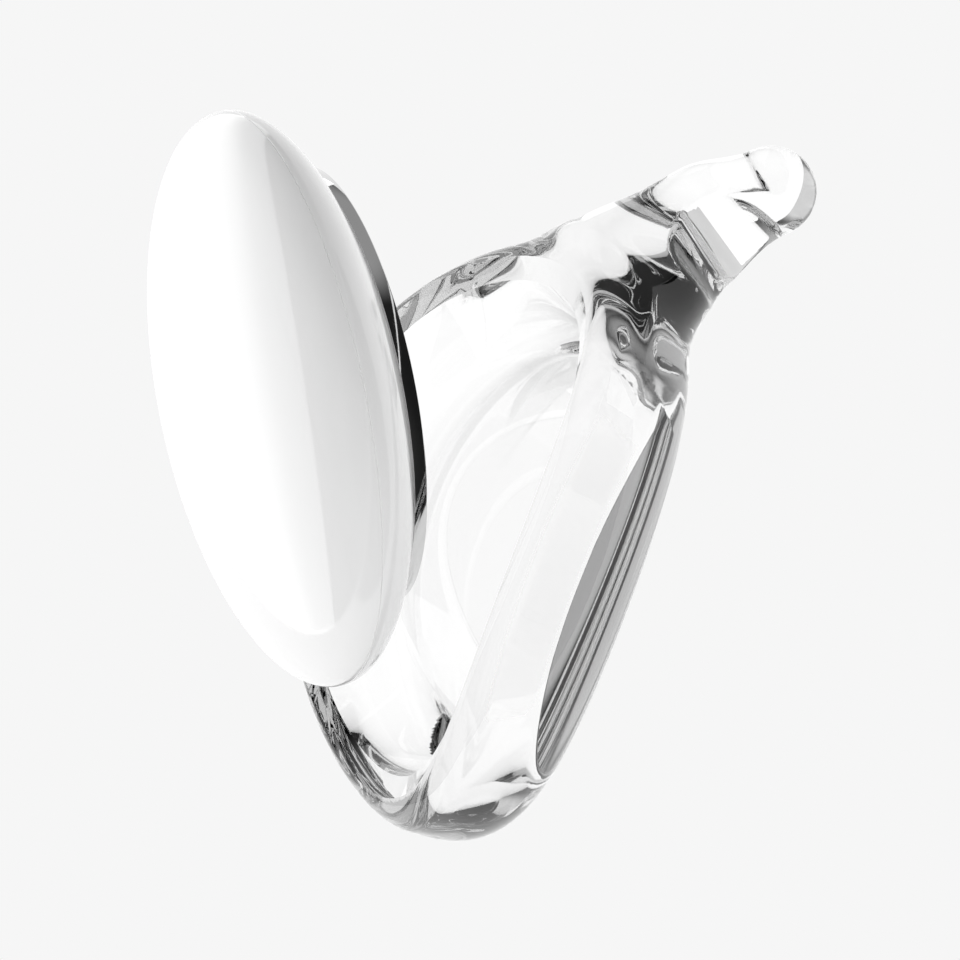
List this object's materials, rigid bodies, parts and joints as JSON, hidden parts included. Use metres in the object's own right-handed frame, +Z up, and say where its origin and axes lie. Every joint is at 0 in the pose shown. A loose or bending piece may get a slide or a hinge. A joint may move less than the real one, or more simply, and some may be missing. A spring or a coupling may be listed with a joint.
{
  "type": "clear dish with domed cap",
  "caption": "Clear arched dish with a finger tail, and a white lens-shaped cap on a chrome-banded plug that lies in the dish's mouth.",
  "frame": {"origin": "middle of the small flat under the dish that it rests on", "axes": "+Z up, out of the resting surface; +Y from the dish toward the tail; X across"},
  "size_m": [0.074, 0.0949, 0.0714],
  "materials": {
    "clear": "polished, clear all through",
    "white": "high gloss",
    "inner_white": "gloss",
    "chrome": "mirror plated",
    "seal": "matte silicone",
    "steel": "plain"
  },
  "bodies": {
    "dish": {"clear_body": "clear"},
    "cap": {"cap_dome": "white", "cap_underside": "white", "chrome_band": "chrome", "plug_disc": "inner_white", "plug_gasket": "seal", "cap_weight": "steel", "cap_screws": "steel"}
  },
  "joints": [
    {"name": "cap_lift", "type": "hinge", "parent": "dish", "child": "cap", "pos_m": [0, -0.01035, 0.04941], "axis": [1, 0, 0], "range_deg": [-28.1, 60]}
  ]
}
